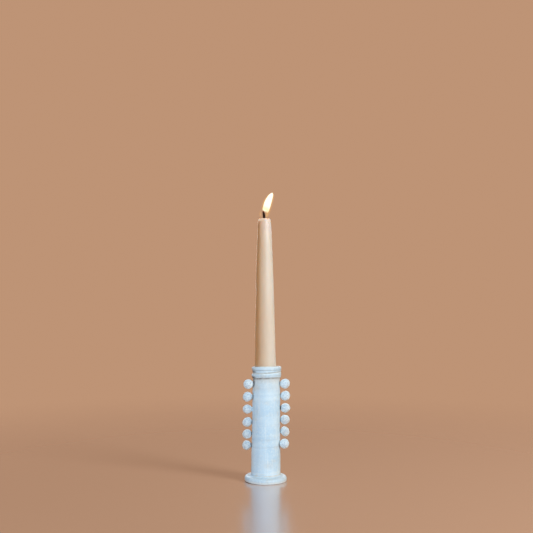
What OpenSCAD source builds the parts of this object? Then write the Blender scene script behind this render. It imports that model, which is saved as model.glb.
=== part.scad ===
// Hand-built ceramic candlestick: a hollow column luted onto a round base,
// two clay bands round its rim and six rolled balls down each side, with the
// taper candle that stands in its socket and lifts out.
// Origin at the centre of the base's underside. +Z is up, the front is -Y,
// and the balls stand at -X and +X.

/* [Base] */
// Radius of the round base
base_r = 20.85; // [19:0.05:26]
// Thickness of the base
base_h = 5; // [4:0.5:7]
// Rounding of the base's top edge
base_top_round = 2.4; // [1.5:0.1:2.5]
// Rounding of the base's bottom edge
base_bottom_round = 0.9; // [0.4:0.1:1.2]
// Inner radius of the foot ring that the base stands on
foot_ring_r = 15; // [10:0.5:17]
// Depth of the hollow inside the foot ring
foot_hollow_h = 0.8; // [0.4:0.1:1.5]
// Size of the clay coil smoothed into the corner between base and column
foot_coil = 2.4; // [1.5:0.1:3]

/* [Column] */
// Outer radius of the column at its foot
column_foot_r = 14.4; // [14.1:0.05:16]
// Outer radius of the column's straight upper part
column_neck_r = 13.85; // [13.4:0.05:14.1]
// Height where the column starts to narrow
taper_start_z = 14; // [10:1:25]
// Height where the column becomes straight
taper_end_z = 56; // [45:1:85]
// Height of the rim
rim_z = 111.2; // [110:0.1:120]
// Radius of the bore, which is the candle's socket
bore_r = 11.75; // [11.3:0.05:12.1]
// Chamfer at the mouth of the bore
mouth_chamfer = 0.6; // [0.3:0.1:0.8]

/* [Rim bands] */
// Height of the upper band
upper_band_h = 5.9; // [5:0.1:7]
// Height of the lower band
lower_band_h = 5.1; // [4:0.1:6]
// Gap between the two bands
band_gap = 0.5; // [0.3:0.1:1]
// How far a band stands out from the column at its top
band_flare = 1.1; // [0.8:0.1:1.6]
// How far a band stands out from the column at its bottom
band_foot = 0.4; // [0.3:0.1:0.6]
// Radius of the line scored round the upper band
score_r = 0.35; // [0.2:0.05:0.4]
// How far up the upper band that line runs, as a share of its height
score_share = 0.45; // [0.3:0.05:0.6]

/* [Socket] */
// Depth of the socket below the rim
socket_depth = 22.9; // [20:0.1:26]
// Thickness of the disc that the candle stands on
seat_h = 3.5; // [2.5:0.5:5]
// Radius of the vent hole through that disc
vent_r = 2; // [1.5:0.5:3]

/* [Balls] */
// Heights of the left balls' centres, from the top down
left_heights = [94.1, 81.5, 69.1, 56.5, 45, 33.9];
// Diameters of the left balls
left_sizes = [9.6, 9.5, 9.2, 9.2, 9.2, 9];
// Angles by which the left balls sit forward of the side
left_turns = [19, 11, 4, 0, 0, 0];
// Heights of the right balls' centres, from the top down
right_heights = [94.1, 82.3, 70.4, 58.8, 47.6, 36.2];
// Diameters of the right balls
right_sizes = [9.4, 9.4, 9.5, 9.3, 9.2, 9.2];
// Angles by which the right balls sit forward of the side
right_turns = [6, 0, 0, 0, 3, 12];
// Thickness of the slip between a ball and the column
slip_gap = 0.3; // [0.2:0.05:0.5]
// Radius of a ball's slip joint
slip_r = 1.9; // [1.5:0.1:2.5]

/* [Candle] */
// Radius of the candle's butt
candle_r = 10.95; // [10.5:0.05:11]
// Length of the candle
candle_length = 171.8; // [120:0.1:230]
// Radius of the candle at its shoulder, under the burning end
shoulder_r = 7.55; // [7:0.05:8.5]
// Radius of the candle just under its melted lip
lip_foot_r = 6.5; // [6:0.1:7]
// Height of the burning end, from shoulder to top
burning_h = 21; // [15:1:30]
// Rounding of the melted lip
lip_round = 1.6; // [1:0.1:2]
// Chamfer round the butt
butt_chamfer = 0.8; // [0.4:0.1:1.2]
// Lean of the candle towards -X
candle_lean = 0.38; // [0:0.02:0.4]
// How far the butt's centre stands off the socket's axis towards -X
butt_offset = 0.33; // [0:0.01:0.35]

/* [Wick] */
// Radius of the wick
wick_r = 0.85; // [0.6:0.05:1.1]
// Length of the wick's free end, beyond its bend
wick_tip_h = 9; // [5:0.1:12]
// Lean of the wick's free end towards -X
wick_lean = 8; // [2:1:20]
// Radius of the wick's bend
wick_bend_r = 12; // [4:1:20]

/* [Hidden] */
$fn = 64;
side_count = len(left_heights);
seat_z = rim_z - socket_depth;
// Lets the leaning butt touch its seat at one edge only
butt_clearance = 0.08;
upper_band_z = rim_z - upper_band_h;
lower_band_z = upper_band_z - band_gap - lower_band_h;
band_round = 0.45;
// Length of the candle's straight butt, which ends just above the rim
butt_h = socket_depth + 2;
shoulder_h = candle_length - burning_h;
lip_h = candle_length - lip_round;
overlap = 1;
glaze_white = [0.86, 0.90, 0.94];
clay_tan = [0.76, 0.68, 0.58];
wax_ivory = [0.91, 0.85, 0.78];
wick_black = [0.13, 0.10, 0.08];

// Outer radius of the column at a height
function column_r(z) =
    z <= taper_start_z ? column_foot_r :
    z >= taper_end_z ? column_neck_r :
    column_foot_r + (column_neck_r - column_foot_r) * (z - taper_start_z) / (taper_end_z - taper_start_z);

// The column's outer shape, filled
module column_outside() {
    rotate_extrude()
        polygon([
            [0, base_h],
            [column_foot_r, base_h],
            [column_foot_r, taper_start_z],
            [column_neck_r, taper_end_z],
            [column_neck_r, rim_z],
            [0, rim_z]
        ]);
}

// Flat disc with rounded edges, hollowed a little inside its foot ring
module base_flange() {
    top_centre = [base_r - base_top_round, base_h - base_top_round];
    bottom_centre = [base_r - base_bottom_round, base_bottom_round];
    color(glaze_white)
        rotate_extrude()
            difference() {
                union() {
                    square([top_centre.x, base_h]);
                    translate([0, base_bottom_round]) square([base_r, top_centre.y - base_bottom_round]);
                    square([bottom_centre.x, base_h / 2]);
                    translate(top_centre) circle(base_top_round);
                    translate(bottom_centre) circle(base_bottom_round);
                }
                translate([0, -overlap]) square([foot_ring_r, foot_hollow_h + overlap]);
            }
}

// Coil of clay smoothed to a hollow fillet round the column's foot
module foot_coil() {
    edge = 0.12;
    color(glaze_white)
        translate([0, 0, base_h])
            rotate_extrude()
                translate([column_foot_r, 0])
                    difference() {
                        square(foot_coil);
                        translate([foot_coil + edge, foot_coil + edge]) circle(foot_coil);
                    }
}

// Tube open at both ends, from the base up to the rim
module column() {
    color(glaze_white)
        rotate_extrude()
            polygon([
                [bore_r, base_h],
                [column_foot_r, base_h],
                [column_foot_r, taper_start_z],
                [column_neck_r, taper_end_z],
                [column_neck_r, rim_z],
                [bore_r + mouth_chamfer, rim_z],
                [bore_r, rim_z - mouth_chamfer]
            ]);
}

// Disc across the bore, with a vent hole to the hollow under it
module candle_seat() {
    color(clay_tan)
        translate([0, 0, seat_z - seat_h])
            difference() {
                cylinder(r = bore_r, h = seat_h);
                translate([0, 0, -overlap]) cylinder(r = vent_r, h = seat_h + 2 * overlap);
            }
}

// Strip of clay wrapped round the column, flared towards its top
module band(bottom_z, height) {
    top_r = column_neck_r + band_flare;
    translate([0, 0, bottom_z])
        rotate_extrude()
            union() {
                polygon([
                    [column_neck_r, 0],
                    [column_neck_r + band_foot, 0],
                    [top_r, height - band_round],
                    [top_r - band_round, height],
                    [column_neck_r, height]
                ]);
                translate([top_r - band_round, height - band_round]) circle(band_round);
            }
}

module rim_band_lower() {
    color(glaze_white) band(lower_band_z, lower_band_h);
}

module rim_band_upper() {
    score_z = upper_band_z + score_share * upper_band_h;
    score_centre_r = column_neck_r + band_foot + score_share * (band_flare - band_foot) + score_r / 2;
    color(glaze_white)
        difference() {
            band(upper_band_z, upper_band_h);
            translate([0, 0, score_z])
                rotate_extrude() translate([score_centre_r, 0]) circle(score_r, $fn = 24);
        }
}

// Turns to a ball's own direction: side is -1 on the left and 1 on the right
module toward(side, turn) {
    rotate([0, 0, side < 0 ? 180 + turn : -turn]) children();
}

// Rolled ball held off the column by its slip joint
module side_ball(side, z, size, turn) {
    toward(side, turn)
        translate([column_r(z) + slip_gap + size / 2, 0, z]) sphere(d = size);
}

module left_ball(i) {
    color(glaze_white) side_ball(-1, left_heights[i], left_sizes[i], left_turns[i]);
}

module right_ball(i) {
    color(glaze_white) side_ball(1, right_heights[i], right_sizes[i], right_turns[i]);
}

// Pad of slip between one ball and the column, thin enough to need fine circles
module slip_joint(side, z, size, turn) {
    $fn = 240;
    difference() {
        toward(side, turn)
            translate([column_r(z) - overlap, 0, z])
                rotate([0, 90, 0]) cylinder(r = slip_r, h = slip_gap + 2 * overlap);
        column_outside();
        side_ball(side, z, size, turn);
    }
}

module left_slip_joints() {
    color(glaze_white)
        for (i = [0 : side_count - 1])
            slip_joint(-1, left_heights[i], left_sizes[i], left_turns[i]);
}

module right_slip_joints() {
    color(glaze_white)
        for (i = [0 : side_count - 1])
            slip_joint(1, right_heights[i], right_sizes[i], right_turns[i]);
}

// Stands the candle's own frame, whose origin is its butt's centre, on the seat
module in_socket() {
    translate([-butt_offset, 0, seat_z + butt_clearance])
        rotate([0, -candle_lean, 0]) children();
}

// Tapered candle with a melted lip round a shallow pool, bored for its wick
module candle() {
    color(wax_ivory)
        in_socket()
            rotate_extrude()
                union() {
                    polygon([
                        [wick_r, 0],
                        [candle_r - butt_chamfer, 0],
                        [candle_r, butt_chamfer],
                        [candle_r, butt_h],
                        [shoulder_r, shoulder_h],
                        [lip_foot_r, lip_h],
                        [wick_r, lip_h]
                    ]);
                    translate([lip_foot_r - lip_round, lip_h]) circle(lip_round);
                }
}

// Wick through the whole candle, bent over where it stands free
module wick() {
    color(wick_black)
        in_socket()
            union() {
                cylinder(r = wick_r, h = lip_h);
                translate([-wick_bend_r, 0, lip_h]) {
                    rotate([90, 0, 0])
                        rotate_extrude(angle = wick_lean) translate([wick_bend_r, 0]) circle(wick_r);
                    rotate([0, -wick_lean, 0])
                        translate([wick_bend_r, 0, 0]) cylinder(r = wick_r, h = wick_tip_h);
                }
            }
}

base_flange();
foot_coil();
column();
candle_seat();
rim_band_lower();
rim_band_upper();
for (i = [0 : side_count - 1]) {
    left_ball(i);
    right_ball(i);
}
left_slip_joints();
right_slip_joints();
candle();
wick();
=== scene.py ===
import math

import bpy
from mathutils import Matrix, Vector, noise


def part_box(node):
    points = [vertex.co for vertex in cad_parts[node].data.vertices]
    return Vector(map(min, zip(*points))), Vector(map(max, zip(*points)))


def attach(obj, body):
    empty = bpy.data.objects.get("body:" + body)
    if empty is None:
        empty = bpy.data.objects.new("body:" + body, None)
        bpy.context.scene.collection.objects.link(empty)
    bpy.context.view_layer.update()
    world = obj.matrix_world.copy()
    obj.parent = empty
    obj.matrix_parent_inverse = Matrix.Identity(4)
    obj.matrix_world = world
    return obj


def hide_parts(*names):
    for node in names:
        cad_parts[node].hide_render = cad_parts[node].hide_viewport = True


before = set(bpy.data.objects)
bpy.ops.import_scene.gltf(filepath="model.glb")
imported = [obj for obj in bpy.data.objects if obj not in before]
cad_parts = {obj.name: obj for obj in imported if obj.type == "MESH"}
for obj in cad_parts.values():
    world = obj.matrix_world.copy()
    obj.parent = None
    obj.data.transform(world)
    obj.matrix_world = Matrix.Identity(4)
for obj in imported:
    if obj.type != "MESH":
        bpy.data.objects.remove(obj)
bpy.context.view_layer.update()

# A hand-built ceramic candlestick with its lit taper candle, remodelled piece by piece with the
# unevenness of hand work, each piece in the place of its CAD node. The object's front is -Y.
#
# Values painted on the meshes, from 0 to about 1, tell the materials where each effect shows:
# bare, thin and pooled glaze with painted light, painted shade and stipple for the glaze;
# painted flame light, soot and a painted glow for the wax; char and ember for the wick;
# body and foot for the flame.

MM = 0.001

# Sizes that a node's box doesn't give, as in the CAD model
FOOT_R = 14.4 * MM
NECK_R = 13.85 * MM
TAPER_START = 14 * MM
TAPER_END = 56 * MM
FOOT_COIL = 2.4 * MM
SLIP_GAP = 0.3 * MM
CANDLE_R = 10.95 * MM
SHOULDER_R = 7.55 * MM
LIP_FOOT_R = 6.5 * MM
CANDLE_LENGTH = 171.8 * MM
LIP_ROUND = 1.6 * MM
BURNING_H = 21 * MM
CANDLE_LEAN = math.radians(0.38)
BUTT_OFFSET = 0.33 * MM
BUTT_CLEARANCE = 0.08 * MM

BALLS_A_SIDE = 6
LEFT, RIGHT = -1, 1
ROUND = 2 * math.pi
UP = Vector((0, 0, 1))

# Sizes and places that the CAD nodes give
base_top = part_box("base_flange")[1]
seat_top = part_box("candle_seat")[1]
lower_lo, lower_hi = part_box("rim_band_lower")
upper_lo, upper_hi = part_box("rim_band_upper")
BASE_R = base_top.x
BASE_H = base_top.z
RIM_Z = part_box("column")[1].z
BORE_R = seat_top.x
SEAT_Z = seat_top.z


# ---------------------------------------------------------------- mesh tools

def smoothstep(low, high, x):
    """0 below low, 1 above high, and a smooth rise between them."""
    t = min(max((x - low) / (high - low), 0.0), 1.0)
    return t * t * (3 - 2 * t)


def bump(middle, width, x):
    """A smooth hill of height 1 at middle that ends width away from it."""
    return 1 - smoothstep(0, width, abs(x - middle))


def uneven(seed, theta, z, lobes=1.0, length=30 * MM):
    """Smooth unevenness from -1 to 1 that closes on itself round the axis.

    Each seed has its own. More lobes make it change faster round the axis; length is about how
    far one hill runs along the axis."""
    x = lobes * math.cos(theta)
    y = lobes * math.sin(theta)
    return noise.noise(Vector((x + 7.3 * seed, y - 3.1 * seed, z / length)))


def polar(radius, theta, z):
    return Vector((radius * math.cos(theta), radius * math.sin(theta), z))


def column_r(z):
    """The column's outer radius at a height, as in the CAD model."""
    t = min(max((z - TAPER_START) / (TAPER_END - TAPER_START), 0.0), 1.0)
    return FOOT_R + (NECK_R - FOOT_R) * t


def arc(cap_r, middle_z, radius, start, end, steps):
    """Outline points round an arc, its angles in degrees from the outward direction."""
    angles = [math.radians(start + (end - start) * i / steps) for i in range(steps + 1)]
    return [(cap_r + radius * math.cos(a), middle_z + radius * math.sin(a)) for a in angles]


def between(start, end, steps):
    """Outline points along a straight line, without its two ends."""
    return [tuple(a + (b - a) * i / steps for a, b in zip(start, end)) for i in range(1, steps)]


def new_piece(name, points, faces):
    """A new smooth-shaded object of the given mesh."""
    mesh = bpy.data.meshes.new(name)
    mesh.from_pydata(points, [], faces)
    mesh.validate()
    mesh.shade_smooth()
    piece = bpy.data.objects.new(name, mesh)
    bpy.context.collection.objects.link(piece)
    return piece


def tube_faces(first, ring_count, count, loop=False):
    """The faces between rings of count points each, the first point being number first."""
    faces = []
    for i in range(ring_count if loop else ring_count - 1):
        a = first + i * count
        b = first + (i + 1) % ring_count * count
        for j in range(count):
            k = (j + 1) % count
            faces.append((a + j, a + k, b + k, b + j))
    return faces


def skin(name, rings, loop=False, caps=False):
    """A closed mesh over rings of points.

    loop joins the last ring to the first; caps close both ends."""
    count = len(rings[0])
    points = [p for ring in rings for p in ring]
    faces = tube_faces(0, len(rings), count, loop)
    if caps:
        for first, turn in ((0, -1), ((len(rings) - 1) * count, 1)):
            ring = points[first:first + count]
            middle = len(points)
            points.append(sum(ring, Vector()) / count)
            for j in range(count):
                edge = (first + j, first + (j + 1) % count)
                faces.append((*edge[::turn], middle))
    return new_piece(name, points, faces)


def lathe(name, outline, shift, segments, **ends):
    """Turns an outline of (r, z) about Z; shift(r, z, theta) gives each point's own place."""
    thetas = [ROUND * j / segments for j in range(segments)]
    rings = [[shift(r, z, theta) for theta in thetas] for r, z in outline]
    return skin(name, rings, **ends)


def paint(piece, name, value):
    """Stores value(point) on every vertex, for the material to read by name."""
    layer = piece.data.attributes.new(name, "FLOAT", "POINT")
    for vertex, item in zip(piece.data.vertices, layer.data):
        item.value = value(vertex.co)


# ----------------------------------------------------------------- materials

class Nodes:
    """A new material's node tree, with short calls to fill it."""

    def __init__(self, name):
        self.material = bpy.data.materials.new(name)
        self.material.use_nodes = True
        self.tree = self.material.node_tree
        self.tree.nodes.clear()
        self.place = self.add("ShaderNodeTexCoord").outputs["Object"]

    def add(self, kind, inputs=(), **settings):
        made = self.tree.nodes.new(kind)
        for name, value in settings.items():
            setattr(made, name, value)
        for name, value in dict(inputs).items():
            self.give(made.inputs[name], value)
        return made

    def give(self, socket, value):
        if isinstance(value, bpy.types.NodeSocket):
            self.tree.links.new(value, socket)
        else:
            socket.default_value = value

    def scaled(self, x, y, z):
        """The place on the object, stretched so that a pattern can run one way."""
        inputs = {"Vector": self.place, "Scale": (x, y, z)}
        return self.add("ShaderNodeMapping", inputs).outputs["Vector"]

    def noise(self, scale, detail=2.0, rough=0.5, vector=None):
        """A cloudy pattern from 0 to 1; scale is about how many patches a metre holds."""
        inputs = {
            "Vector": vector or self.place, "Scale": scale, "Detail": detail, "Roughness": rough,
        }
        return self.add("ShaderNodeTexNoise", inputs).outputs["Fac"]

    def span(self, value, low, high, to_low=0.0, to_high=1.0):
        """Maps value from low..high to to_low..to_high, smoothly and held at both ends."""
        inputs = {
            "Value": value, "From Min": low, "From Max": high, "To Min": to_low, "To Max": to_high,
        }
        made = self.add("ShaderNodeMapRange", inputs, interpolation_type="SMOOTHSTEP")
        return made.outputs["Result"]

    def math(self, operation, a, b):
        return self.add("ShaderNodeMath", {0: a, 1: b}, operation=operation).outputs[0]

    def mix(self, factor, a, b):
        """Colour a where factor is 0 and colour b where it is 1."""
        return self.add("ShaderNodeMix", {0: factor, 6: a, 7: b}, data_type="RGBA").outputs[2]

    def painted(self, name):
        """The value painted on the mesh under that name, or 0 where there is none."""
        return self.add("ShaderNodeAttribute", attribute_name=name).outputs["Fac"]

    def bumps(self, *layers):
        """Layers of (height, strength, distance), one on top of the other."""
        normal = None
        for height, strength, distance in layers:
            inputs = {"Height": height, "Strength": strength, "Distance": distance}
            if normal is not None:
                inputs["Normal"] = normal
            normal = self.add("ShaderNodeBump", inputs).outputs["Normal"]
        return normal

    def finish(self, shader):
        self.add("ShaderNodeOutputMaterial", {"Surface": shader})
        return self.material


GLAZE_WHITE = (0.70, 0.86, 0.96, 1)
GLAZE_BLUE = (0.49, 0.715, 0.885, 1)
# Thick glaze, also the colour of painted light
GLAZE_THICK_AND_LIT = (0.84, 0.94, 0.98, 1)
GLAZE_THIN = (0.66, 0.60, 0.51, 1)
GLAZE_GREY = (0.40, 0.49, 0.61, 1)
CLAY = (0.46, 0.35, 0.25, 1)
CLAY_PALE = (0.60, 0.49, 0.37, 1)
# Dark grog in the clay, also the colour of painted shade
DARK_GROG_AND_SHADE = (0.10, 0.08, 0.07, 1)


def clay_colour(n):
    """Bare stoneware, speckled with darker grog."""
    grog = n.span(n.noise(1400, 2), 0.56, 0.66)
    tone = n.span(n.noise(160, 3), 0.35, 0.7)
    return n.mix(grog, n.mix(tone, CLAY, CLAY_PALE), DARK_GROG_AND_SHADE)


def glaze():
    """Matte bluish-white glaze: whiter where it pooled and where light is painted on, tan where it is
    thin, then bare clay, darkened by painted shade in crevices.
    """
    n = Nodes("matte_glaze")
    cloudy = n.span(n.noise(60, 3, 0.5), 0.30, 0.70, 0.20, 0.90)
    colour = n.mix(cloudy, GLAZE_BLUE, GLAZE_WHITE)
    streak = n.noise(1.0, 3, 0.6, n.scaled(480, 480, 30))
    colour = n.mix(n.span(streak, 0.50, 0.72, 0.0, 0.42), colour, GLAZE_THICK_AND_LIT)
    mottle = n.noise(520, 3, 0.65)
    colour = n.mix(n.span(mottle, 0.50, 0.67, 0.0, 0.48), colour, GLAZE_THICK_AND_LIT)
    patches = n.span(n.noise(150, 2, 0.55), 0.58, 0.74, 0.0, 0.25)
    colour = n.mix(patches, colour, GLAZE_THIN)
    # Whiter where glaze pooled, and where light is painted on.
    colour = n.mix(n.painted("pooled_and_lit"), colour, GLAZE_THICK_AND_LIT)
    speckled = n.span(mottle, 0.34, 0.62, 1.10, 0.80)
    colour = n.mix(n.math("MULTIPLY", n.painted("thin"), speckled), colour, GLAZE_THIN)
    stipple = n.span(n.noise(880, 2, 0.6), 0.47, 0.60)
    colour = n.mix(n.math("MULTIPLY", n.painted("stippled"), stipple), colour, GLAZE_GREY)
    pinhole = n.span(n.noise(1900, 1), 0.70, 0.76, 0.0, 0.5)
    colour = n.mix(pinhole, colour, CLAY)
    ragged = n.noise(700, 3, 0.6)
    raggedness = n.math("MULTIPLY", n.math("SUBTRACT", ragged, 0.5), 0.9)
    bare = n.math("ADD", n.painted("bare"), raggedness)
    colour = n.mix(n.span(bare, 0.40, 0.75), colour, clay_colour(n))
    # Painted shade: darker in crevices, grooves, undercuts and at the balls' joints.
    colour = n.mix(n.painted("painted_shade"), colour, DARK_GROG_AND_SHADE)
    lines = n.noise(1.0, 2, 0.5, n.scaled(14, 14, 420))
    pitted = n.noise(900, 3, 0.6)
    normal = n.bumps(
        (lines, 0.22, 0.25 * MM), (streak, 0.14, 0.30 * MM), (pitted, 0.45, 0.15 * MM))
    rough = n.span(n.noise(300, 2), 0.3, 0.7, 0.46, 0.62)
    inputs = {
        "Base Color": colour, "Roughness": rough, "Normal": normal,
        "Diffuse Roughness": 0.3, "Specular IOR Level": 0.35,
    }
    return n.finish(n.add("ShaderNodeBsdfPrincipled", inputs).outputs["BSDF"])


def bare_clay():
    """Unglazed stoneware, as the seat inside the column."""
    n = Nodes("bare_clay")
    normal = n.bumps((n.noise(1500, 3, 0.7), 0.5, 0.15 * MM))
    inputs = {"Base Color": clay_colour(n), "Roughness": 0.85, "Normal": normal}
    return n.finish(n.add("ShaderNodeBsdfPrincipled", inputs).outputs["BSDF"])


WAX = (0.745, 0.65, 0.525, 1)
WAX_PALE = (0.78, 0.705, 0.59, 1)
WAX_LIT = (0.82, 0.70, 0.62, 1)
WAX_GLOW = (0.90, 0.86, 0.74, 1)
SOOT = (0.16, 0.10, 0.06, 1)
CHAR_DARK = (0.008, 0.004, 0.002, 1)
CHAR = (0.030, 0.014, 0.008, 1)
WAXED_COTTON = (0.22, 0.13, 0.08, 1)
EMBER = (0.75, 0.10, 0.02, 1)


def wax():
    """Ivory wax: light goes in and comes out warmer; near the burning end the flame's light is
    painted on.
    """
    n = Nodes("ivory_wax")
    cloudy = n.span(n.noise(1.0, 3, 0.55, n.scaled(90, 90, 26)), 0.3, 0.7)
    colour = n.mix(cloudy, WAX, WAX_PALE)
    # Painted light: warmer where the flame lights the wax near its top.
    colour = n.mix(n.painted("painted_flame_light"), colour, WAX_LIT)
    colour = n.mix(n.painted("soot"), colour, SOOT)
    dents = n.noise(120, 2)
    grain = n.noise(1.0, 2, 0.5, n.scaled(900, 900, 120))
    normal = n.bumps((dents, 0.25, 0.3 * MM), (grain, 0.12, 0.06 * MM))
    rough = n.span(n.noise(220, 2), 0.3, 0.7, 0.42, 0.56)
    inputs = {
        "Base Color": colour, "Roughness": rough, "Normal": normal,
        "Subsurface Weight": 0.6, "Subsurface Radius": (0.85, 0.40, 0.18),
        "Subsurface Scale": 4 * MM,
        # Painted glow on the lip, standing in for the flame's light shining through it.
        "Emission Color": WAX_GLOW,
        "Emission Strength": n.math("MULTIPLY", n.painted("glow"), 0.42),
    }
    shader = n.add("ShaderNodeBsdfPrincipled", inputs, subsurface_method="BURLEY")
    return n.finish(shader.outputs["BSDF"])


def charred_wick():
    """Braided cotton: waxed and pale at its foot, charred above, its tip still glowing."""
    n = Nodes("charred_wick")
    fibre = n.noise(2600, 2)
    colour = n.mix(n.painted("char"), WAXED_COTTON, n.mix(fibre, CHAR_DARK, CHAR))
    inputs = {
        "Base Color": colour, "Roughness": 0.9, "Specular IOR Level": 0.2,
        "Normal": n.bumps((fibre, 0.6, 0.1 * MM)),
        "Emission Color": EMBER,
        "Emission Strength": n.math("MULTIPLY", n.painted("ember"), 0.25),
    }
    return n.finish(n.add("ShaderNodeBsdfPrincipled", inputs).outputs["BSDF"])


def flame_layer(name, colour, foot_colour, strength, alpha):
    """One layer of the flame: it gives light, and what is behind it shows through."""
    n = Nodes(name)
    inputs = {
        "Base Color": (0, 0, 0, 1), "Roughness": 1.0, "Specular IOR Level": 0.0,
        "Emission Color": n.mix(n.painted("foot"), colour, foot_colour),
        "Emission Strength": strength,
        "Alpha": n.math("MULTIPLY", n.painted("body"), alpha),
    }
    shader = n.add("ShaderNodeBsdfPrincipled", inputs).outputs["BSDF"]
    n.material.cycles.emission_sampling = "NONE"
    return n.finish(shader)


# -------------------------------------------------------------- clay pieces

def front(theta):
    """1 at the object's front, 0 at its sides and -1 at its back."""
    return -math.sin(theta)


def lean(z):
    """How far the clay stands over to the right at a height, as the column leans."""
    column_lean = 0.50 * MM * smoothstep(10 * MM, 95 * MM, z)
    rim_lean = 0.20 * MM * smoothstep(95 * MM, 104 * MM, z)
    return column_lean + rim_lean


def rim_tilt(z, theta):
    """How much higher the rim is at an angle: it dips towards the back and the left."""
    return smoothstep(96 * MM, 106 * MM, z) * (0.25 * math.cos(theta) + 0.5 * front(theta)) * MM


def side_name(side):
    return "left" if side == LEFT else "right"


def ball_node(side, number):
    return f"{side_name(side)}_ball_{number}"


def ball_place(side, number):
    """A ball's centre, radius, outward direction and contact with the leaning column."""
    lo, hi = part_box(ball_node(side, number))
    centre = (lo + hi) / 2
    radius = (hi.x - lo.x) / 2
    outward = Vector((centre.x, centre.y, 0)).normalized()
    contact = outward * column_r(centre.z) + Vector((lean(centre.z), 0, centre.z))
    return centre + Vector((lean(centre.z), 0, 0)), radius, outward, contact


# Where the balls are stuck to the column, from the top down, on the left and then on the right
CONTACTS = [
    ball_place(side, number)[-1] for side in (LEFT, RIGHT) for number in range(1, BALLS_A_SIDE + 1)
]
# The painted shade at each of them: how dark, and how far its middle lies above the ball's in mm
JOINT_SHADES = [
    (0.8, 0.6), (0.65, 0.5), (0.12, 0.0), (0.75, 0.8), (0.75, 1.8), (0.75, 1.0),
    (0.7, 0.0), (0.6, 0.6), (0.95, 0.4), (0.55, 0.0), (0.6, 2.2), (0.6, -0.8),
]


def nearest_contact(point):
    """Distance from a point to the nearest place where a ball is stuck to the column."""
    return min((point - contact).length for contact in CONTACTS)


def joint_shade(point):
    """How dark the painted shade round the balls' joints is at a point."""
    shades = []
    for contact, (dark, above) in zip(CONTACTS, JOINT_SHADES):
        away = (point - contact - Vector((0, 0, above * MM))).length
        shades.append(dark * (1 - smoothstep(2.6 * MM, 5.0 * MM, away)))
    return max(shades)


def build_base(material):
    """The round base: a rolled slab, its edge fuller in some places than in others."""
    top_round = 2.4 * MM
    low_round = 0.7 * MM
    ring_r = 15 * MM
    hollow = 0.8 * MM
    cap_r = 1 * MM
    wiped_h = 0.10 * MM
    outline = [(cap_r, hollow)]
    outline += between((cap_r, hollow), (ring_r, hollow), 6)
    outline += [(ring_r, hollow), (ring_r, 0.0)]
    outline += between((ring_r, 0), (BASE_R - low_round, 0), 5)
    outline += arc(BASE_R - low_round, low_round, low_round, -90, 0, 6)
    outline += arc(BASE_R - top_round, BASE_H - top_round, top_round, 0, 90, 12)
    outline += between((BASE_R - top_round, BASE_H), (cap_r, BASE_H), 12)
    outline += [(cap_r, BASE_H)]

    def shift(r, z, theta):
        edge = smoothstep(ring_r, BASE_R, r)
        high = smoothstep(0.5 * MM, 2.5 * MM, z)
        left = -math.cos(theta)
        bulges = 0.22 * uneven(1, theta, z, 1.3) + 0.12 * uneven(2, theta, z, 4.0, 4 * MM)
        slope = 0.35 * edge * high * (left - 0.3)
        rolled = 0.30 * (1 - high) * smoothstep(BASE_R - 3 * MM, BASE_R, r) * max(left, 0) ** 2
        up = high * (0.18 * uneven(3, theta, 0, 2.0) + slope) + rolled
        return polar(r + edge * (bulges - 0.16) * MM, theta, z + up * MM)

    def shaded(p):
        """Painted shade: a little darker on top, towards the coil."""
        return 0.16 * (1 - smoothstep(FOOT_R + FOOT_COIL, BASE_R - 1 * MM, p.xy.length))

    piece = lathe("glazed_base", outline, shift, segments=160, caps=True)
    paint(piece, "bare", lambda p: 1 - smoothstep(0, wiped_h, p.z))
    paint(piece, "thin", lambda p: 0.22 + 0.23 * (1 - smoothstep(1.4 * MM, 2.6 * MM, p.z)))
    paint(piece, "pooled_and_lit", lambda p: 0.9 * bump(1.0 * MM, 1.2 * MM, p.z))
    paint(piece, "painted_shade", shaded)
    piece.data.materials.append(material)
    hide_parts("base_flange")
    return piece


def build_foot_coil(material):
    """The coil smoothed into the corner over the base, thumbed down unevenly."""
    bottom = BASE_H - 0.4 * MM
    inner = FOOT_R - 0.5 * MM
    toe = 0.2 * MM
    outline = [(inner, bottom), (FOOT_R + FOOT_COIL + toe, bottom)]
    outline += arc(FOOT_R + FOOT_COIL, BASE_H + FOOT_COIL, FOOT_COIL - 0.05 * MM, -90, -180, 10)
    outline += [(inner, BASE_H + FOOT_COIL + toe)]

    def shift(r, z, theta):
        free = smoothstep(inner, FOOT_R + 0.3 * MM, r)
        out = free * (0.22 * uneven(5, theta, 0, 2.5) + 0.10 * uneven(6, theta, z, 7.0, 4 * MM))
        up = smoothstep(BASE_H, BASE_H + FOOT_COIL, z) * 0.30 * uneven(7, theta, 0, 2.2)
        return polar(r + out * MM, theta, z + up * MM)

    piece = lathe("smoothed_foot_coil", outline, shift, segments=160, loop=True)
    paint(piece, "thin", lambda p: 0.15 + 0.50 * bump(BASE_H + 1.8 * MM, 1.3 * MM, p.z))
    paint(piece, "pooled_and_lit", lambda p: 0.8 * smoothstep(BASE_H + 2.0 * MM, BASE_H + 2.5 * MM, p.z))
    # Painted shade in the corner where the coil meets the base.
    paint(piece, "painted_shade", lambda p: 0.14 * bump(BASE_H, 0.9 * MM, p.z))
    piece.data.materials.append(material)
    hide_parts("foot_coil")
    return piece


# Faint grooves round the column, as (height in mm, how deep), and the pale rings between them,
# as (height in mm, how pale)
GROOVES = [
    (20.5, 0.3), (33.6, 1.2), (40.8, 0.8), (54.2, 0.5),
    (64.2, 0.3), (77.6, 0.4), (83.2, 0.5), (90.0, 0.3),
]
PALE_RINGS = [
    (9.0, 0.6), (25.6, 0.2), (37.2, 0.25), (44.6, 0.3), (61.6, 0.15), (80.4, 0.3), (85.3, 0.2),
]
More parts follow.
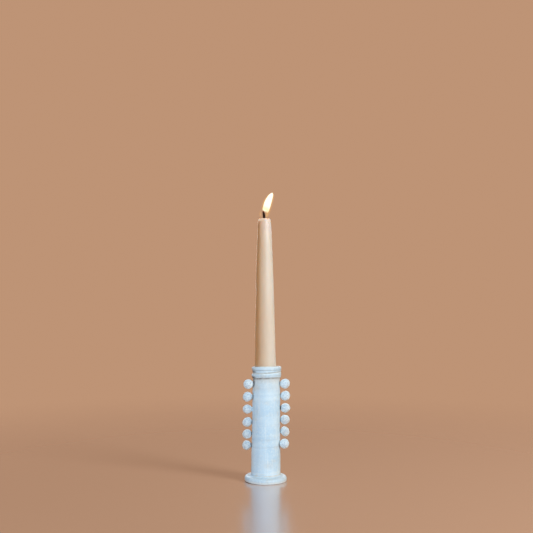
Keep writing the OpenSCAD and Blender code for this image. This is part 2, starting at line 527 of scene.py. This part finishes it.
# Where the glaze wore thin on the front: across and up, then the half width and half height, in mm
WORN_SPOTS = [
    (1.2, 76.5, 5, 3), (-11.0, 60.5, 4, 3), (2.2, 40.5, 4, 2.5), (11.0, 33.0, 4, 3.5),
    (7.7, 21.0, 5, 3), (3.0, 17.0, 8, 5), (-10.5, 91.0, 5, 6), (-4.0, 8.0, 7, 1.6),
]


def ring_marks(marks, width, theta, z):
    """How strongly a list of rings round the column, each fading out over width, shows at a place."""
    level = z - 0.6 * MM * math.cos(theta)
    return max(strength * bump(height * MM, width, level) for height, strength in marks)


def worn(point):
    """How far the glaze has worn thin at a point."""
    if point.y > 0:
        return 0.0
    nearest = 1.0
    for x, z, wide, high in WORN_SPOTS:
        nearest = min(nearest, math.hypot((point.x / MM - x) / wide, (point.z / MM - z) / high))
    return bump(0, 1, nearest)


def column_outline():
    """The hollow column's outline as (r, z): up its outside, over the rim and down its bore."""
    mouth = 0.6 * MM
    bottom = BASE_H - 0.3 * MM
    step_h = 1.0 * MM
    heights = [BASE_H + i * step_h for i in range(round((RIM_Z - mouth - BASE_H) / step_h))]
    outline = [(FOOT_R, bottom)] + [(column_r(z), z) for z in heights]
    outline += arc(NECK_R - mouth, RIM_Z - mouth, mouth, 0, 90, 4)
    outline += arc(BORE_R + mouth, RIM_Z - mouth, mouth, 90, 180, 6)
    outline += between((BORE_R, RIM_Z - mouth), (BORE_R, bottom), 50)
    return outline + [(BORE_R, bottom)]


def build_column(material):
    """The hollow column, with the faint rings of its making and a slight lean."""

    def shift(r, z, theta):
        outer = smoothstep(BORE_R + 0.3 * MM, column_r(z) - 0.3 * MM, r)
        spiral = math.sin(ROUND * z / (4.6 * MM) + theta)
        turned = 0.05 * spiral * (0.4 + 0.6 * uneven(8, theta, z))
        lumps = 0.20 * uneven(9, theta, z, 1.1, 34 * MM) + 0.09 * uneven(10, theta, z, 3.2, 12 * MM)
        waist = -0.12 * bump(39 * MM, 14 * MM, z) - 0.40 * bump(98.6 * MM, 7 * MM, z)
        cut = -0.09 * ring_marks(GROOVES, 1.1 * MM, theta, z)
        out = outer * (turned + lumps + waist + cut) * MM
        place = polar(r + out, theta, z + rim_tilt(z, theta))
        place.x += outer * lean(z)
        return place

    piece = lathe("thrown_column", column_outline(), shift, segments=180, loop=True)
    paint_column(piece)
    piece.data.materials.append(material)
    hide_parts("column")
    return piece


def paint_column(piece):
    """Says where the column's glaze is thin, bare or thick, and where shade and light are painted on
    it.
    """

    def outside(p):
        """1 on the column's outside and 0 in its bore."""
        return smoothstep(BORE_R + 0.4 * MM, BORE_R + 1.2 * MM, p.xy.length)

    def bare(p):
        """Unglazed inside its bore, and broken round the balls' joints."""
        unglazed = 0.9 * smoothstep(2 * MM, 6 * MM, RIM_Z - p.z) * (1 - outside(p))
        return max(unglazed, 0.30 * bump(0, 4 * MM, nearest_contact(p)))

    def thin(p):
        """Thinner towards the rim, where the brush ran dry."""
        dry = 0.20 * smoothstep(84 * MM, 92 * MM, p.z) + 0.38 * smoothstep(93 * MM, 100 * MM, p.z)
        return min(0.04 + dry + 0.26 * worn(p), 0.7)

    def painted_shade(p):
        """Painted shade: dark in a ragged line under the lower band, darkest on the left, in the
        grooves and at the balls' joints.
        """
        theta = math.atan2(p.y, p.x)
        line = bump(lower_band_low(theta) - 0.55 * MM, 1.3 * MM, p.z)
        line *= (0.70 - 0.30 * math.cos(theta)) * (0.85 + 0.6 * uneven(12, theta, 0, 5.0))
        mark = 0.09 * ring_marks(GROOVES, 1.0 * MM, theta, p.z)
        return outside(p) * max(line, mark, joint_shade(p))

    def pooled_and_lit(p):
        """Painted light low on the column's left, and thick glaze in pale rings."""
        painted_light = 0.35 * bump(17 * MM, 15 * MM, p.z) * (1 - smoothstep(-3 * MM, 6 * MM, p.x))
        return max(painted_light, 0.9 * ring_marks(PALE_RINGS, 1.8 * MM, math.atan2(p.y, p.x), p.z))

    paint(piece, "thin", thin)
    paint(piece, "bare", bare)
    paint(piece, "painted_shade", painted_shade)
    paint(piece, "pooled_and_lit", pooled_and_lit)


def lower_band_low(theta):
    """Height of the lower band's bottom edge at an angle."""
    return lower_lo.z + (0.15 + 0.35 * math.cos(theta) + 0.80 * front(theta)) * MM


def groove(theta):
    """Height of the groove between the two bands at an angle."""
    middle = (lower_hi.z + upper_lo.z) / 2
    return middle + (0.05 + 1.10 * math.cos(theta) - 0.35 * front(theta)) * MM


def lower_band_high(theta):
    return groove(theta) - 0.3 * MM


def upper_band_low(theta):
    return groove(theta) + 0.3 * MM


def upper_band_high(theta):
    return upper_hi.z - 0.5 * MM + rim_tilt(upper_hi.z, theta)


def score_at(theta):
    """How far up a band its scored line runs, as a share of the band's height."""
    return 0.40 - 0.07 * math.cos(theta) + 0.07 * max(front(theta), 0)


def band_profile():
    """A band's outline as (how far out, how far up), both as shares of the whole."""
    collar = 0.45
    low_corner = 0.06
    top_corner = 0.14

    def rounded(size, middle, start, end):
        turns = [math.radians(start + (end - start) * i / 6) for i in range(7)]
        return [(1 - size * 1.4 * (1 - math.cos(a)), middle + size * math.sin(a)) for a in turns]

    profile = [(0.0, 0.0), (collar, 0.0)] + rounded(low_corner, low_corner, -90, 0)
    profile += between((1.0, low_corner), (1.0, 1 - top_corner), 18)
    profile += rounded(top_corner, 1 - top_corner, 0, 90)
    return profile + [(collar, 1.0), (0.0, 1.0)]


def build_band(name, node, material, low, high, foot, top, belly, score, ledge):
    """A strip of clay wrapped round the rim, a bulging profile that changes from side to side.

    low and high give the heights of its edges at an angle. foot and top say how far those edges
    stand out from the column, in mm at the left and at the right. belly is how much the profile
    bulges between them, score is the depth of the line pressed into it in mm, and ledge is how
    white its top edge is painted, as pooled glaze and as a painted highlight."""
    inner = NECK_R - 0.7 * MM
    seed = len(node)

    def shift(out, up, theta):
        side = 0.5 + 0.5 * math.cos(theta)
        foot_out = foot[0] + (foot[1] - foot[0]) * side
        top_out = top[0] + (top[1] - top[0]) * side
        bulge = foot_out + (top_out - foot_out) * (1 - (1 - up) ** belly)
        bulge += 0.10 * uneven(seed, theta, up, 1.6, 1.0)
        bulge += 0.06 * uneven(seed + 1, theta, up, 5.0, 0.5)
        bulge -= score * bump(score_at(theta), 0.14, up)
        edges = 0.12 * uneven(seed + 2, theta, up, 3.0, 0.3) * MM
        z = low(theta) + (high(theta) - low(theta)) * up + edges * out
        place = polar(inner + (NECK_R + bulge * MM - inner) * out, theta, z)
        place.x += lean(RIM_Z)
        return place

    def up_share(p):
        """A point's angle, and how far up the band it lies as a share of the band's height."""
        theta = math.atan2(p.y, p.x)
        return theta, (p.z - low(theta)) / (high(theta) - low(theta))

    def painted_shade(p):
        """Painted shade: dark at the foot, in the scored line and in the undercut of the left."""
        theta, up = up_share(p)
        left = 0.5 - 0.5 * math.cos(theta)
        undercut = 0.95 * smoothstep(0.80, 0.97, left) * bump(0.2, 0.6, up)
        line = (0.25 + 0.45 * left) * bump(0, 0.16, up)
        scored = 2.2 * score * bump(score_at(theta), 0.12, up)
        return max(undercut, line, scored)

    def thin(p):
        """Worn at the foot of the strip."""
        return 0.10 + 0.5 * bump(0, 0.25, up_share(p)[1])

    def pooled_and_lit(p):
        """Pooled glaze and a painted highlight: white on the top edge, most of all at the right."""
        theta, up = up_share(p)
        return ledge * (0.35 + 0.65 * max(math.cos(theta + 0.5), 0)) * bump(0.93, 0.16, up)

    piece = lathe(name, band_profile(), shift, segments=180, loop=True)
    paint(piece, "bare", lambda p: 0.26 * bump(1.0, 0.12, up_share(p)[1]))
    paint(piece, "thin", thin)
    paint(piece, "painted_shade", painted_shade)
    paint(piece, "pooled_and_lit", pooled_and_lit)
    piece.data.materials.append(material)
    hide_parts(node)
    return piece


# How each ball came out of the hand: its width and height beside a true ball's, how far the glaze
# on it has worn to tan, then bulges as (direction in degrees from outward, up being 90; size in mm)
BALL_SHAPES = {
    (LEFT, 1): (1.00, 1.02, 0.10, [(150, 0.2), (-60, 0.1), (-160, -0.2), (180, 0.2)]),
    (LEFT, 2): (1.00, 1.02, 0.02, [(100, 0.1), (-135, -0.4), (-40, 0.2), (180, 0.3)]),
    (LEFT, 3): (1.03, 0.99, 0.08, [(60, 0.15), (180, 0.3), (-90, -0.2)]),
    (LEFT, 4): (1.00, 1.04, 0.05, [(130, 0.4), (60, -0.35), (-20, 0.25)]),
    (LEFT, 5): (0.99, 1.03, 0.14, [(-150, 0.35), (60, -0.35), (-40, 0.25)]),
    (LEFT, 6): (0.98, 1.03, 0.22, [(50, 0.15), (-30, 0.1), (-150, -0.25)]),
    (RIGHT, 1): (1.02, 1.06, 0.06, [(55, 0.2), (-50, -0.25), (180, 0.4)]),
    (RIGHT, 2): (1.03, 1.04, 0.04, [(45, 0.25), (110, -0.25), (-150, 0.2)]),
    (RIGHT, 3): (1.03, 0.98, 0.06, [(0, 0.25), (120, -0.2), (-110, 0.2)]),
    (RIGHT, 4): (1.01, 1.01, 0.34, [(140, 0.2), (-45, -0.15), (0, 0.15)]),
    (RIGHT, 5): (0.99, 1.04, 0.34, [(-50, 0.15), (45, -0.4), (-150, -0.2), (110, 0.2)]),
    (RIGHT, 6): (1.01, 1.02, 0.10, [(-130, 0.35), (0, -0.25), (180, 0.3), (150, 0.2)]),
}


def ball_rings(side, number):
    """Level rings of points over a ball that has lumps and flats where the fingers rolled it."""
    centre, radius, outward, _ = ball_place(side, number)
    wide, tall, _, bulges = BALL_SHAPES[side, number]
    across = UP.cross(outward)
    seed = 40 + 10 * number + side
    lumps = []
    for degrees, size in bulges:
        a = math.radians(degrees)
        lumps.append((outward * math.cos(a) + UP * math.sin(a), size * MM))
    rows, turns = 36, 56
    rings = []
    for i in range(1, rows):
        latitude = math.pi * (i / rows - 0.5)
        ring = []
        for j in range(turns):
            longitude = ROUND * j / turns
            level = outward * math.cos(longitude) + across * math.sin(longitude)
            way = level * math.cos(latitude) + UP * math.sin(latitude)
            grow = sum(size * smoothstep(0.45, 1.0, way.dot(lump)) for lump, size in lumps)
            grow += 0.16 * MM * noise.noise(way * 1.7 + Vector((seed, 0, 0)))
            grow += 0.07 * MM * noise.noise(way * 4.5 + Vector((0, seed, 0)))
            reach = (radius + grow - 0.1 * MM) * way
            ring.append(centre + Vector((reach.x * wide, reach.y * wide, reach.z * tall)))
        rings.append(ring)
    return rings


def build_ball(side, number, material):
    """A ball rolled between the fingers: not quite round, its glaze worn where it stands out."""
    centre, radius, _, contact = ball_place(side, number)
    tan = BALL_SHAPES[side, number][2]

    def crown(p):
        """1 on the crowns that face the object's front and back, and 0 between them."""
        return smoothstep(0.35, 0.95, abs(p.y - centre.y) / radius)

    def above(p):
        """1 at the ball's top, where the glaze ran thin, and -1 underneath, where it is painted
        whiter as light from below.
        """
        return (p.z - centre.z) / radius

    def bare(p):
        """Broken a little at the joint and on the crowns."""
        return 0.22 * max(bump(0, 3.0 * MM, (p - contact).length), 0.6 * crown(p))

    piece = skin(f"rolled_ball_{side_name(side)}_{number}", ball_rings(side, number), caps=True)
    paint(piece, "thin", lambda p: (0.03 + tan) * (0.3 + crown(p)) + 0.10 * max(above(p), 0))
    paint(piece, "stippled", lambda p: 0.15 + 0.55 * crown(p) * (1 + 0.4 * above(p)))
    # Painted light: whiter round the ball's rim as seen from the front and underneath, evening out
    # its shading.
    paint(piece, "pooled_and_lit", lambda p: min(0.88 - 0.40 * crown(p) - 0.22 * above(p), 1))
    paint(piece, "bare", bare)
    # Painted shade round the ball's joint with the column.
    paint(piece, "painted_shade", lambda p: 0.8 * bump(0, 2.2 * MM, (p - contact).length))
    piece.data.materials.append(material)
    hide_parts(ball_node(side, number))
    return piece


COLLAR_ROWS = 7
COLLAR_TURNS = 28


def slip_collar(side, number):
    """The points of one ball's collar of slip, ring by ring from inside the column outwards."""
    _, _, outward, contact = ball_place(side, number)
    across = UP.cross(outward)
    start = -0.45 * MM
    end = SLIP_GAP + 0.75 * MM
    points = []
    for i in range(COLLAR_ROWS):
        t = i / (COLLAR_ROWS - 1)
        flare = 1.75 + 1.15 * (2 * t - 1) ** 2
        for j in range(COLLAR_TURNS):
            a = ROUND * j / COLLAR_TURNS
            lump = noise.noise(Vector((math.cos(a), math.sin(a), number + 9 * side)) * 1.3)
            off = (across * math.cos(a) + UP * math.sin(a)) * ((flare + 0.35 * lump) * MM)
            points.append(contact + outward * (start + (end - start) * t) + off)
    return points


def build_slip(side, material):
    """The squeezed-out slip that holds one side's balls: a row of small whitish collars."""
    points = []
    faces = []
    for number in range(1, BALLS_A_SIDE + 1):
        first = len(points)
        last = first + (COLLAR_ROWS - 1) * COLLAR_TURNS
        points += slip_collar(side, number)
        faces += tube_faces(first, COLLAR_ROWS, COLLAR_TURNS)
        faces.append(tuple(first + j for j in reversed(range(COLLAR_TURNS))))
        faces.append(tuple(last + j for j in range(COLLAR_TURNS)))
    piece = new_piece(f"squeezed_slip_{side_name(side)}", points, faces)
    paint(piece, "bare", lambda p: 0.25)
    # Painted shade of the balls' joints darkens the collars.
    paint(piece, "painted_shade", joint_shade)
    piece.data.materials.append(material)
    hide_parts(f"{side_name(side)}_slip_joints")
    return piece


# --------------------------------------------------------- candle and flame

# From the candle's own frame, with its butt at the origin, to where it leans in its socket
CANDLE_FRAME = (
    Matrix.Translation((-BUTT_OFFSET, 0, SEAT_Z + BUTT_CLEARANCE))
    @ Matrix.Rotation(-CANDLE_LEAN, 4, "Y")
)
# Heights on the candle, in its own frame
BUTT_H = RIM_Z - SEAT_Z + 2 * MM
SHOULDER_H = CANDLE_LENGTH - BURNING_H
LIP_THICK = 0.9 * MM
LIP_H = CANDLE_LENGTH - LIP_THICK
LIP_MIDDLE = Vector((0, 0, CANDLE_LENGTH - LIP_ROUND))


def candle_outline():
    """The taper's outline as (r, z): its straight butt, its cone, its burning end, lip and pool."""
    cap_r = 1 * MM
    under_r = 6 * MM
    chamfer = 0.8 * MM
    pool_cap_r = 0.6 * MM
    pool_h = LIP_H - 0.4 * MM
    outline = [(cap_r, 0), (under_r, 0), (CANDLE_R - chamfer, 0), (CANDLE_R, chamfer)]
    outline += between((CANDLE_R, chamfer), (CANDLE_R, BUTT_H), 12) + [(CANDLE_R, BUTT_H)]
    outline += between((CANDLE_R, BUTT_H), (SHOULDER_R, SHOULDER_H), 60)
    outline += [(SHOULDER_R, SHOULDER_H)]
    outline += between((SHOULDER_R, SHOULDER_H), (LIP_FOOT_R, LIP_H), 16)
    outline += arc(LIP_FOOT_R - LIP_THICK, LIP_H, LIP_THICK, 0, 180, 14)
    outline += between((LIP_FOOT_R - 2 * LIP_THICK, LIP_H), (pool_cap_r, pool_h), 4)
    return outline + [(pool_cap_r, pool_h)]


def build_candle(material):
    """The taper: a slightly uneven cone with a melted lip round its pool."""

    def shift(r, z, theta):
        tip = smoothstep(SHOULDER_H, CANDLE_LENGTH, z)
        near_lip = smoothstep(LIP_H - 3 * MM, LIP_H, z)
        belly = 0.16 * uneven(60, theta, z, 0.9, 40 * MM) + 0.08 * uneven(61, theta, z, 2.5, 12 * MM)
        belly -= 0.30 * bump(BUTT_H + 8 * MM, 36 * MM, z)
        belly += (0.15 + 0.25 * max(-math.cos(theta), 0)) * bump(114 * MM, 24 * MM, z)
        slump = 0.22 * tip * uneven(62, theta, z, 1.8, 9 * MM) - 0.25 * bump(LIP_H, 2.5 * MM, z)
        out = smoothstep(0, 3 * MM, r) * (belly + slump) * MM
        wavy = 0.20 * uneven(63, theta, 0, 1.7) * smoothstep(1 * MM, 4 * MM, r)
        up = near_lip * (-0.35 + wavy) * MM
        return CANDLE_FRAME @ polar(r + out, theta, z + up)

    top = CANDLE_FRAME @ Vector((0, 0, CANDLE_LENGTH))
    wick_foot = top - Vector((0, 0, 2 * MM))

    def glow(p):
        """Painted glow where the flame's light would shine through the thin lip, strongest on its
        left.
        """
        left = (top.x - p.x) / LIP_FOOT_R
        return smoothstep(-3.9 * MM, -2.0 * MM, p.z - top.z) * smoothstep(-0.1, 0.9, left)

    piece = lathe("taper_candle", candle_outline(), shift, segments=128, caps=True)
    # Painted light from the flame, warmer towards the burning end.
    paint(piece, "painted_flame_light", lambda p: 1 - smoothstep(2 * MM, 26 * MM, (p - top).length))
    paint(piece, "soot", lambda p: 0.7 * bump(0, 2.6 * MM, (p - wick_foot).length))
    paint(piece, "glow", glow)
    piece.data.materials.append(material)
    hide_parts("candle")
    return piece


def along(points, t):
    """A point on the smooth curve through evenly spaced points, for t from 0 to 1."""
    spans = len(points) - 1
    i = min(int(t * spans), spans - 1)
    u = t * spans - i
    p0, p1, p2, p3 = (points[min(max(i + k, 0), spans)] for k in (-1, 0, 1, 2))
    place = 2 * p1 + (p2 - p0) * u
    place += (2 * p0 - 5 * p1 + 4 * p2 - p3) * u ** 2
    place += (3 * p1 - p0 - 3 * p2 + p3) * u ** 3
    return 0.5 * place


def split_line(line):
    """A line's points in the candle's frame, and its half widths as vectors, ready for along()."""
    middles = [Vector((x, 0, z)) * MM + LIP_MIDDLE for x, z, _ in line]
    widths = [Vector((w * MM, 0, 0)) for _, _, w in line]
    return middles, widths


# The wick's middle line, in mm from the middle of the candle's lip, and its half width there
WICK_LINE = [
    (0.0, -6.0, 0.85), (-0.1, -3.4, 0.95), (-0.2, -0.8, 1.05), (-0.25, 1.8, 1.15),
    (-0.3, 4.4, 1.25), (-0.6, 7.0, 1.15), (-1.1, 9.6, 0.75),
]


def build_wick(material):
    """The braided wick, from inside the wax to its curled, charred tip."""
    middles, widths = split_line(WICK_LINE)
    rows, turns = 72, 28
    rings = []
    for i in range(rows + 1):
        t = i / rows
        closing = math.sqrt(1 - smoothstep(0.93, 1.03, t) ** 2)
        ring = []
        for j in range(turns):
            a = ROUND * j / turns
            braid = 1 + 0.09 * math.cos(3 * a + 44 * t) * math.cos(3 * a - 44 * t)
            frayed = 1 + 0.10 * noise.noise(Vector((math.cos(a) * 2, math.sin(a) * 2, t * 14)))
            r = along(widths, t).x * closing * braid * frayed
            ring.append(CANDLE_FRAME @ (along(middles, t) + polar(r, a, 0)))
        rings.append(ring)
    piece = skin("braided_wick", rings, caps=True)
    wax_z = (CANDLE_FRAME @ middles[2]).z
    tip_z = (CANDLE_FRAME @ middles[-1]).z
    paint(piece, "char", lambda p: smoothstep(wax_z - 1 * MM, wax_z + 2 * MM, p.z))
    paint(piece, "ember", lambda p: smoothstep(tip_z - 2.5 * MM, tip_z, p.z) ** 2)
    piece.data.materials.append(material)
    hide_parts("wick")
    return piece


# The flame's middle line, in mm from the middle of the candle's lip, and its half width there
FLAME_LINE = [
    (-0.3, 2.6, 3.0), (-0.2, 5.2, 3.5), (0.3, 7.8, 3.6), (1.3, 10.4, 3.6),
    (2.15, 13.0, 3.6), (2.9, 15.6, 3.65), (3.6, 18.2, 3.65), (4.5, 20.8, 3.45),
    (5.6, 23.4, 3.0), (6.8, 26.0, 2.35), (8.2, 28.6, 1.3),
]
# The flame's layers from the outside in: material name, colour, colour of its foot, strength and
# opacity; then its width beside the line's, where on the line it starts, and how much of it shows
# as a strand at either side of the wick
FLAME_LAYERS = [
    (("flame_halo", (1.0, 0.56, 0.18, 1), (1.0, 0.50, 0.14, 1), 1.0, 0.10), 1.50, 0.0, 0.8),
    (("flame_edge", (1.0, 0.58, 0.20, 1), (1.0, 0.50, 0.14, 1), 1.0, 0.32), 1.14, 0.0, 0.6),
    (("flame_mantle", (1.0, 0.95, 0.82, 1), (0.72, 0.77, 0.50, 1), 1.7, 0.70), 1.0, 0.16, 0.0),
    (("flame_heart", (1.0, 1.0, 0.97, 1), (0.56, 0.61, 0.40, 1), 2.0, 1.0), 0.84, 0.25, 0.0),
]


def flame_rings(size, start):
    """Level rings of points round one layer of the flame, which the air draws to the right."""
    middles, widths = split_line(FLAME_LINE)
    end = min(1 - 0.05 * (1 - size), 1.006)
    rows, turns = 56, 40
    rings = []
    for i in range(rows + 1):
        share = 0.5 - 0.5 * math.cos(math.pi * i / rows)
        t = start + (end - start) * share
        ends = 1 - smoothstep(0, 0.14, share) + smoothstep(0.85, 1.0, share)
        closing = math.sqrt(max(1 - ends ** 2, 0.0004))
        r = along(widths, t).x * size * closing
        ring = []
        for j in range(turns):
            a = ROUND * j / turns
            off = Vector((r * math.cos(a), 0.92 * r * math.sin(a), 0))
            ring.append(CANDLE_FRAME @ (along(middles, t) + off))
        rings.append(ring)
    return rings


def build_flame_layer(number, look, size, start, strands):
    """One of the flame's nested layers, numbered from the outside in."""
    clear_top = CANDLE_FRAME @ (LIP_MIDDLE + Vector((1.3 * MM, 0, 9.6 * MM)))
    wick_x = clear_top.x - 2.2 * MM

    def body(p):
        """Clear round the wick but for a strand at either side; full above it, lower on the right."""
        strand = strands * smoothstep(1.9 * MM, 3.2 * MM, abs(p.x - wick_x))
        full = smoothstep(-1.8 * MM, 2.4 * MM, p.z - clear_top.z + 0.62 * (p.x - clear_top.x))
        return strand + (1 - strand) * full

    def foot(p):
        """The greener foot of the flame, which runs lower on the right too."""
        return bump(1.2 * MM, 4.6 * MM, p.z - clear_top.z + 0.4 * (p.x - clear_top.x))

    piece = skin(f"flame_layer_{number}", flame_rings(size, start), caps=True)
    paint(piece, "body", body)
    paint(piece, "foot", foot)
    piece.data.materials.append(flame_layer(*look))
    piece.visible_shadow = False
    return piece


# ------------------------------------------------------------------- assembly

glaze_material = glaze()
clay_material = bare_clay()

holder_pieces = [
    build_base(glaze_material), build_foot_coil(glaze_material), build_column(glaze_material),
]
holder_pieces.append(build_band(
    "flared_band_lower", "rim_band_lower", glaze_material, lower_band_low, lower_band_high,
    foot=(-0.20, 0.20), top=(1.00, 0.85), belly=2.6, score=0.08, ledge=0.9))
holder_pieces.append(build_band(
    "flared_band_upper", "rim_band_upper", glaze_material, upper_band_low, upper_band_high,
    foot=(-0.40, 0.60), top=(0.89, 0.98), belly=1.5, score=0.17, ledge=0.6))
for side in (LEFT, RIGHT):
    holder_pieces.append(build_slip(side, glaze_material))
    for number in range(1, BALLS_A_SIDE + 1):
        holder_pieces.append(build_ball(side, number, glaze_material))
for piece in holder_pieces:
    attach(piece, "holder")

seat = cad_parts["candle_seat"]
seat.material_slots[0].material = clay_material

candle_piece = build_candle(wax())
wick_piece = build_wick(charred_wick())
flame_pieces = [build_flame_layer(number, *layer) for number, layer in enumerate(FLAME_LAYERS, 1)]
for piece in [candle_piece, wick_piece] + flame_pieces:
    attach(piece, "candle")


# --------------------------------------------------- floor, lights and camera

FLOOR_COLOUR = (0.68, 0.44, 0.30, 1)
POLISH = (0.95, 0.95, 1.0, 1)
BACKDROP = (0.515, 0.295, 0.180, 1)
AMBIENT = (0.155, 0.125, 0.10, 1)


def build_floor():
    """A pale satin floor that fades into the backdrop away from the object."""
    bpy.ops.mesh.primitive_circle_add(vertices=96, radius=1.2, fill_type="NGON")
    floor = bpy.context.object
    floor.name = "pale_floor"
    n = Nodes("pale_floor")
    away = n.add("ShaderNodeVectorMath", {0: n.place}, operation="LENGTH").outputs["Value"]
    inputs = {
        "Base Color": FLOOR_COLOUR, "Roughness": 0.30, "Specular IOR Level": 0.5,
        "Coat Weight": 1.0, "Coat Roughness": 0.22, "Coat IOR": 1.7,
    }
    satin = n.add("ShaderNodeBsdfPrincipled", inputs).outputs["BSDF"]
    polish = n.add("ShaderNodeBsdfGlossy", {"Color": POLISH, "Roughness": 0.22}).outputs["BSDF"]
    surface = n.add("ShaderNodeMixShader", {0: 0.35, 1: satin, 2: polish}).outputs[0]
    clear = n.add("ShaderNodeBsdfTransparent").outputs["BSDF"]
    far = n.span(away, 0.16, 0.85)
    faded = n.add("ShaderNodeMixShader", {0: far, 1: surface, 2: clear}).outputs[0]
    floor.data.materials.append(n.finish(faded))
    return floor


def build_world():
    """A plain backdrop, seen directly and in reflections, and a soft even light from all round."""
    world = bpy.data.worlds.new("studio")
    world.use_nodes = True
    tree = world.node_tree
    tree.nodes.clear()
    output = tree.nodes.new("ShaderNodeOutputWorld")
    mix = tree.nodes.new("ShaderNodeMixShader")
    path = tree.nodes.new("ShaderNodeLightPath")
    either = tree.nodes.new("ShaderNodeMath")
    either.operation = "MAXIMUM"
    for socket, colour in ((1, AMBIENT), (2, BACKDROP)):
        light = tree.nodes.new("ShaderNodeBackground")
        light.inputs["Color"].default_value = colour
        tree.links.new(light.outputs[0], mix.inputs[socket])
    tree.links.new(path.outputs["Is Camera Ray"], either.inputs[0])
    tree.links.new(path.outputs["Is Glossy Ray"], either.inputs[1])
    tree.links.new(either.outputs[0], mix.inputs[0])
    tree.links.new(mix.outputs[0], output.inputs["Surface"])
    bpy.context.scene.world = world


def build_softbox(name, place, size, power, colour, lit, mirrored=True):
    """A round softbox aimed at the object's middle that lights only the pieces in lit.

    mirrored says whether they reflect it too."""
    data = bpy.data.lights.new(name, "AREA")
    data.shape = "DISK"
    data.size = size
    data.energy = power
    data.color = colour
    lamp = bpy.data.objects.new(name, data)
    lamp.location = place
    aim = Vector((0, 0, 0.13)) - Vector(place)
    lamp.rotation_euler = aim.to_track_quat("-Z", "Y").to_euler()
    lamp.visible_camera = False
    lamp.visible_glossy = mirrored
    bpy.context.collection.objects.link(lamp)
    group = bpy.data.collections.new(f"lit_by_{name}")
    for piece in lit:
        group.objects.link(piece)
    lamp.light_linking.receiver_collection = group


def build_flame_light(flame, power):
    """The light that the flame gives, riding on the flame."""
    data = bpy.data.lights.new("flame_light", "POINT")
    data.energy = power
    data.color = (1.0, 0.55, 0.25)
    data.shadow_soft_size = 3 * MM
    lamp = bpy.data.objects.new("flame_light", data)
    lamp.location = CANDLE_FRAME @ Vector((2 * MM, 0, CANDLE_LENGTH + 12 * MM))
    lamp.parent = flame
    bpy.context.collection.objects.link(lamp)


def build_camera():
    """The camera stands level with the candle's lower half and looks up a little."""
    data = bpy.data.cameras.new("camera")
    data.sensor_width = 36
    data.lens = 44.98
    tilt_up = math.radians(5.0)
    camera = bpy.data.objects.new("camera", data)
    camera.location = (0.7 * MM, -672 * MM, 152.6 * MM)
    camera.rotation_euler = (math.radians(90) + tilt_up, 0, 0)
    bpy.context.collection.objects.link(camera)
    bpy.context.scene.camera = camera


floor = build_floor()
build_world()
candle_side = [candle_piece, wick_piece]
holder_side = holder_pieces + [seat]
build_softbox("key", (0.85, -0.85, 0.66), 0.5, 15.0, (0.93, 0.97, 1.0), candle_side)
build_softbox("warm_fill", (-0.85, -0.45, 0.38), 0.8, 2.6, (1.0, 0.50, 0.16), candle_side)
build_softbox("clay_key", (1.04, -0.60, 0.66), 0.5, 7.1, (1.0, 0.91, 0.76), holder_side)
build_softbox("clay_fill", (-0.06, -1.06, 0.45), 0.8, 9.9, (0.60, 0.79, 1.0), holder_side)
build_softbox("clay_low_fill", (0.0, -1.0, 0.02), 0.8, 1.7, (1.0, 0.94, 0.65), holder_side)
build_softbox(
    "back_fill", (-0.15, 1.05, 0.45), 0.8, 7.0, (0.97, 0.98, 1.0), candle_side + holder_side)
build_softbox(
    "floor_light", (0.95, -0.65, 0.60), 0.5, 15.5, (0.95, 0.97, 0.97), [floor], mirrored=False)
build_flame_light(flame_pieces[0], 0.008)
build_camera()
bpy.context.scene.view_settings.view_transform = "Standard"
